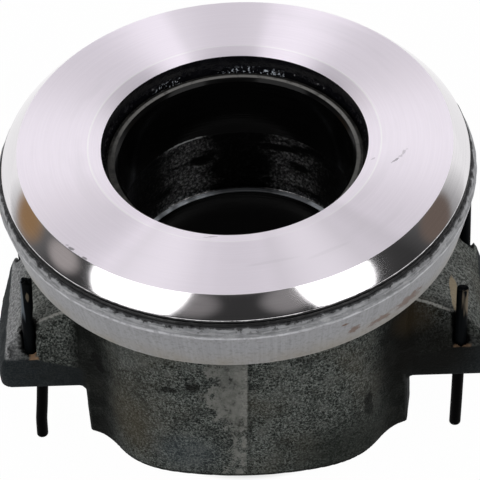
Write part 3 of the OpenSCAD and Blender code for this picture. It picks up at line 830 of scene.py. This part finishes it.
# %% Skin of a field
def draw_skin(field, low, high, cell):
    """Surface nets: one vertex in each grid cell that the field changes sign in, at the mean of the crossings on its
    edges, and one quad across each grid edge whose two ends have different signs."""
    grid = [np.arange(a, b + cell, cell) for a, b in zip(low, high)]
    value = field(*np.meshgrid(*grid, indexing="ij", sparse=True))
    inside = value < 0
    corners = np.array([(i, j, k) for i in (0, 1) for j in (0, 1) for k in (0, 1)])
    shape = np.array(value.shape) - 1
    count = sum(inside[i:i + shape[0], j:j + shape[1], k:k + shape[2]].astype(np.int8) for i, j, k in corners)
    cells = np.argwhere((count > 0) & (count < 8))
    number = np.full(shape, -1)
    number[tuple(cells.T)] = np.arange(len(cells))
    total, hits = np.zeros((len(cells), 3)), np.zeros((len(cells), 1))
    for a in corners:
        for b in corners[(corners - a).sum(1) == 1]:
            if np.abs(b - a).sum() != 1:
                continue
            va, vb = value[tuple((cells + a).T)], value[tuple((cells + b).T)]
            cross = ((va < 0) != (vb < 0))[:, None]
            t = np.where(cross[:, 0], va / np.where(va == vb, 1, va - vb), 0)[:, None]
            total += cross * (a + t * (b - a))
            hits += cross
    verts = np.array(low) + cell * (cells + total / hits)
    quads = []
    for axis in range(3):
        u, v = (axis + 1) % 3, (axis + 2) % 3
        step = np.eye(3, dtype=int)
        first = np.take(inside, np.arange(shape[axis]), axis)
        second = np.take(inside, np.arange(1, shape[axis] + 1), axis)
        spots = np.argwhere(first != second)
        spots = spots[(spots[:, u] > 0) & (spots[:, v] > 0) & (spots[:, u] < shape[u]) & (spots[:, v] < shape[v])]
        ring = [number[tuple((spots - o).T)] for o in (step[u] + step[v], step[v], 0 * step[u], step[u])]
        quad = np.stack(ring, 1)
        out = first[tuple(spots.T)]
        quads.append(np.where(out[:, None], quad, quad[:, ::-1]))
    return verts, np.vstack(quads)


def field_slope(field, p, h=0.05):
    """Gradient of the field by central differences."""
    return np.stack([(field(*(p + h * e).T) - field(*(p - h * e).T)) / (2 * h) for e in np.eye(3)], 1)


print("skin helpers ready")

# %% [markdown]
# ## Cast iron
# Dark iron straight from the sand: a hard speckle of black pits and pale grains, painted shade in the corners
# between body and lugs, paler dust and painted light on what faces up, and painted light on the end of the left
# lug. What follows the shape, such as the machined faces, the crests and the wells, comes from attributes of the
# mesh; the crests carry a painted highlight and the well walls painted shade. The sand's noise goes through a hard
# ramp, because a smooth noise would look soft.

# %% Sand skin
cast_iron, put, spot = new_finish("cast_iron")
place = in_mm(spot)
at = axes(place)
grown = {}
for key in ("machined", "crest", "dust_and_top_light", "well_floor", "well_wall"):
    grown[key] = add("Attribute", tree=spot.id_data, attribute_name=key, attribute_type="GEOMETRY").outputs["Fac"]
sand, speck, patch = noise(spot, 1500.0, 3.0, 0.6), noise(spot, 2600.0, 1.0), noise(spot, 55.0, 4.0)
cloud = noise(spot, 210.0, 4.0, 0.6)
tone = ramp(sand, [(0.35, (0.004, 0.005, 0.004)), (0.45, (0.049, 0.057, 0.052)), (0.54, (0.117, 0.131, 0.120)),
                   (0.68, (0.250, 0.268, 0.252))])
tone = paint(tone, (0.28, 0.285, 0.265), ease(speck, 0.57, 0.66), 0.55)
tone = paint(tone, (0.008, 0.009, 0.008), ease(speck, 0.46, 0.38), 0.8)
tone = paint(tone, (0.018, 0.020, 0.019), ease(cloud, 0.52, 0.32), 0.5)
tone = paint(tone, (0.13, 0.137, 0.127), ease(cloud, 0.48, 0.66), 0.45)
tone = paint(tone, (0.085, 0.075, 0.055), ease(patch, 0.45, 0.75), 0.40)
off_axis = math("ABSOLUTE", at["X"])
# Painted shade in the corners where the body meets the lugs.
corner_shade = times(ease(off_axis, 28.0, 37.5), ease(off_axis, 45.0, 41.8))
tone = paint(tone, (0.003, 0.0036, 0.003), corner_shade, ease(cloud, 0.7, 0.4, 0.88, 1.0), 0.95)
bright_sand = ease(sand, 0.36, 0.64)
dusty_and_lit = mix(bright_sand, (0.055, 0.059, 0.055), (0.26, 0.27, 0.255))
left_end_light = mix(bright_sand, (0.16, 0.165, 0.17), (0.42, 0.425, 0.43))
# Lug faces that face up are paler: dust, and painted light.
tone = paint(tone, dusty_and_lit, grown["dust_and_top_light"], 0.75)
# The end of the left lug is painted paler, as painted light from the left.
tone = paint(tone, left_end_light, ease(at["X"], -54.0, -59.0), ease(at["Z"], 29.5, 31.5), 0.8)
put("Specular IOR Level", 0.03)
put("Roughness", scaled(sand, 0.3, 0.5))
put("Normal", bump(math("ADD", times(sand, 0.8), times(speck, 0.35)), 0.8, 0.45))
print("sand skin nodes:", len(spot.id_data.nodes))

# %% [markdown]
# ## Ground strip and stains
# A flash ran down the front of the casting and was ground off. The strip it left is a step in a slanted coordinate
# whose left edge is moved by two noises, so that it breaks up into islands; lower down it is pitted, and a dark
# seam runs along its right edge. The other marks are tables of sharp, ragged ones and of wide, soft ones: stains
# and washes of oil, and among them a painted shadow, painted shade and one patch of painted light. The lugs'
# upright bands and the bottom edge are painted darker as painted shade.

# %% Ground strip
ragged = noise(stretched(spot, (300.0, 300.0, 420.0)), 1.0, 4.0)
scar = noise(stretched(spot, (520.0, 520.0, 380.0)), 1.0, 4.0, 0.65)
strip_x = scaled(at["Z"], -0.05, at["X"])
worn_edge = jitter(jitter(strip_x, cloud, 16.0), sand, 6.0)
worn_edge = math("SUBTRACT", worn_edge, ease(at["Z"], 29.0, 20.0, 0.0, 4.5))
front_only = ease(at["Y"], -30.0, -33.0)
ground = times(ease(worn_edge, -11.2, -10.0), ease(strip_x, -0.6, -1.1), front_only)
strip_tone = ramp(scar, [(0.33, (0.045, 0.046, 0.041)), (0.43, (0.178, 0.181, 0.166)), (0.68, (0.245, 0.248, 0.228))])
strip_tone = paint(strip_tone, (0.27, 0.27, 0.25), ease(strip_x, -3.2, -1.8), ease(sand, 0.4, 0.6))
pitted = times(ease(at["Z"], 29.0, 19.0), ease(scar, 0.55, 0.45, 0.08, 0.85))
tone = paint(tone, strip_tone, ground, ease(cloud, 0.36, 0.50, 0.6, 0.9), math("SUBTRACT", 1.0, pitted))
seam = stripe(jitter(strip_x, ragged, 1.6), -0.2, 0.6, 0.2)
tone = paint(tone, (0.012, 0.012, 0.011), seam, front_only, 0.35)
print("strip nodes:", len(spot.id_data.nodes))

# %% Stains and painted shade
# Painted shade on the upright lower band of each lug.
band_line = scaled(math("MINIMUM", off_axis, 54.0), -0.3, at["Z"])
band_shade = times(ease(band_line, 15.0, 14.2), ease(off_axis, 40.5, 43.0))
tone = paint(tone, (0.015, 0.019, 0.022), band_shade, 0.9)
sharp_stains_and_shading = [((-45, -19, 28), (10, 7, 10), 0, (0.012, 0.013, 0.012), 0.35),
                ((-37.0, -21, 32), (2.0, 3.5, 3.6), 0, (0.003, 0.003, 0.003), 0.85),
                ((31.2, -28, 20), (1.6, 2.2, 5), 0, (0.004, 0.004, 0.004), 0.75),
                # a painted shadow beside the left wire, in its well
                ((-56.4, -15.0, 37.5), (1.4, 3.9, 4.6), 0, (0.002, 0.002, 0.002), 0.97),
                # painted light on the upper left of the body's front
                ((-30, -32, 45), (10, 10, 8), 0, (0.12, 0.126, 0.118), 0.35),
                ((-19.5, -33, 34.5), (3.4, 6, 1.7), 0, (0.006, 0.006, 0.005), 0.8),
                ((-12.6, -36, 36.2), (2.8, 6, 2.2), 0, (0.006, 0.006, 0.005), 0.85)]
# The first soft wash is painted shade on the lower right of the body; the second paints the front of the right lug
# much darker.
soft_washes_and_shade = [((28, -34, 7), (27, 20, 20), 0, (0.014, 0.017, 0.014), 0.75),
               ((47, -19, 30), (20, 11, 21), 0, (0.006, 0.006, 0.005), 0.93),
               ((43, -17, 41), (9, 9, 8), 0, (0.032, 0.023, 0.012), 0.7),
               ((-16, -37, 12), (13, 14, 10), 0, (0.075, 0.095, 0.112), 0.32),
               ((-31, -31, 19), (9, 11, 17), 0, (0.075, 0.060, 0.034), 0.38)]
tone = paint_marks(spot, tone, sharp_stains_and_shading, ragged)
tone = paint_marks(spot, tone, soft_washes_and_shade, core=0.25)
# Painted shade along the bottom edge of the casting.
tone = paint(tone, (0.005, 0.005, 0.005), ease(at["Z"], 5.0, 4.0, 0.0, 0.85))
print("stains:", len(sharp_stains_and_shading), "sharp,", len(soft_washes_and_shade), "soft")

# %% Edges and wells
chisel = mark(spot, (54.0, -9.2, 39.9), (0.8, 5.0, 2.0), 3.3, times(ragged, 0.5), 0.7)
tone = paint(tone, (0.34, 0.28, 0.19), chisel, 0.85)
tone = paint(tone, (0.045, 0.047, 0.045), grown["machined"], 0.5)
# On a crest, a lug's side and its crown are equally far off: their difference is zero.
folded = vector_math("ABSOLUTE", place)
side_less_crown = (-crest[0], draft[1], draft[0] - crest[1])
to_crest = vector_math("DOT_PRODUCT", folded, side_less_crown, "Value")
crest_at = lug_y * draft[1] + band_z * draft[0] - crest_z * crest[1] - flat_x * crest[0]
crest_highlight = stripe(jitter(to_crest, ragged, 1.2), crest_at, 0.6, 0.2)
# The crests get a painted highlight.
tone = paint(tone, (0.38, 0.38, 0.355), crest_highlight, grown["crest"], ease(sand, 0.36, 0.5, 0.3, 1.0))
# The well walls are painted black as painted shade; the well floors are rust brown where light reaches them.
tone = paint(tone, (0.002, 0.002, 0.002), grown["well_wall"], 0.95)
tone = paint(tone, (0.32, 0.20, 0.12), grown["well_floor"], 0.9)
put("Base Color", tone)
print("cast iron nodes:", len(spot.id_data.nodes))

# %% Carrier casting
grid_low, grid_high, grid_cell = (-67, -48.6, 1.9), (67, 48.6, 68), 0.72
skin, skin_quads = draw_skin(casting_field, grid_low, grid_high, grid_cell)
for _ in range(2):
    rise = field_slope(casting_field, skin)
    step = casting_field(*skin.T)[:, None] * rise / np.maximum((rise ** 2).sum(1, keepdims=True), 0.2)
    skin = skin - np.clip(step, -0.35, 0.35)
normal = rise / np.maximum(np.linalg.norm(rise, axis=1, keepdims=True), 1e-6)
x, y, z = skin.T
to_wire = np.min([from_wire(name, x, y, z) for name in wire_bends], axis=0)
past_flat = np.abs(x) > flat_x - 0.4
# Rust brown only on the part of each well floor that light reaches.
rusty_floor_where_lit = np.where(x < 0, x > -54.7, 0.45 * (y < -17.8) * (np.abs(x - 55) < 2.2))
attributes = {
    "machined": np.maximum.reduce([np.abs(normal[:, 2] + 1) < 0.02, (np.abs(np.abs(x) - flat_x) < 0.3) & (z < 22),
                                   z > foot_z - 0.6, np.hypot(x, y) < hole_r + 0.75]),
    "crest": np.exp(-((lug_side(y, z) - lug_crown(x, z)) / 1.5) ** 2) * (past_flat & (z > 36)),
    "dust_and_top_light": np.clip((normal[:, 2] - 0.45) / 0.4, 0, 1) * past_flat,
    "well_floor": (to_wire < 4.2) * (z < band_z + 0.35) * (normal[:, 2] > 0.6) * rusty_floor_where_lit,
    "well_wall": (to_wire < 2.5) & (z > band_z - 0.2)}
print("attribute means", {key: round(float(value.mean()), 3) for key, value in attributes.items()})

# %% Heave of the casting
heave_size, wave_count = 0.10, 60
pick = np.random.default_rng(3)
waves = pick.normal(size=(3, wave_count)) * pick.choice([0.25, 0.6, 1.3], wave_count)
heave = np.sin(skin @ waves + pick.uniform(0, 6.28, wave_count)).sum(1) / np.sqrt(wave_count)
to_machined = [np.abs(z - base_z), np.abs(z - seat_z), np.abs(np.abs(x) - flat_x), np.abs(z - foot_z)]
calm = np.clip(np.minimum.reduce(to_machined) / 2.5, 0, 1)
skin = skin + (heave_size * heave * calm)[:, None] * normal
casting = make_piece("carrier_casting", skin, skin_quads, "carrier", "iron", [cast_iron], ["carrier"], sharp=50)
for key, value in attributes.items():
    casting.data.attributes.new(key, "FLOAT", "POINT").data.foreach_set("value", value.astype(np.float32))
print("heave up to", round(float(np.abs(heave_size * heave * calm).max()), 3), "mm")

# %% [markdown]
# ## Inside the bearing
# The race, the balls, their cage, the snap ring and the inner collar keep their CAD shapes, which are right as they
# are. They only get a finish each, as a maker would choose it: bright hard steel, brass, blued spring and rubber.


# %% Finishes of the inner parts
def plain_metal(name, dark, light, rough, scale):
    """A metal whose colour and roughness drift with a fine noise."""
    metal, put, spot = new_finish(name)
    drift = noise(spot, scale, 3.0)
    put("Base Color", mix(drift, dark, light))
    put("Metallic", 1.0)
    put("Roughness", scaled(drift, 0.15, rough))
    put("Normal", bump(drift, 0.1, 0.05))
    return metal


bearing_steel = plain_metal("bearing_steel", (0.55, 0.55, 0.56), (0.72, 0.72, 0.73), 0.12, 300.0)
cage_brass = plain_metal("cage_brass", (0.48, 0.32, 0.11), (0.66, 0.47, 0.19), 0.28, 400.0)
blued_spring = plain_metal("blued_spring", (0.05, 0.055, 0.07), (0.11, 0.12, 0.14), 0.30, 500.0)
inner_finishes = {"retaining_ring": blued_spring, "fixed_race": bearing_steel, "cage": cage_brass,
                  "inner_seal": wet_rubber}
for name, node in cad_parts.items():
    finish = bearing_steel if name.startswith("ball_") else inner_finishes.get(name)
    if finish:
        node.data.materials.clear()
        node.data.materials.append(finish)
print("inner parts finished:", sorted(inner_finishes), "and the balls")
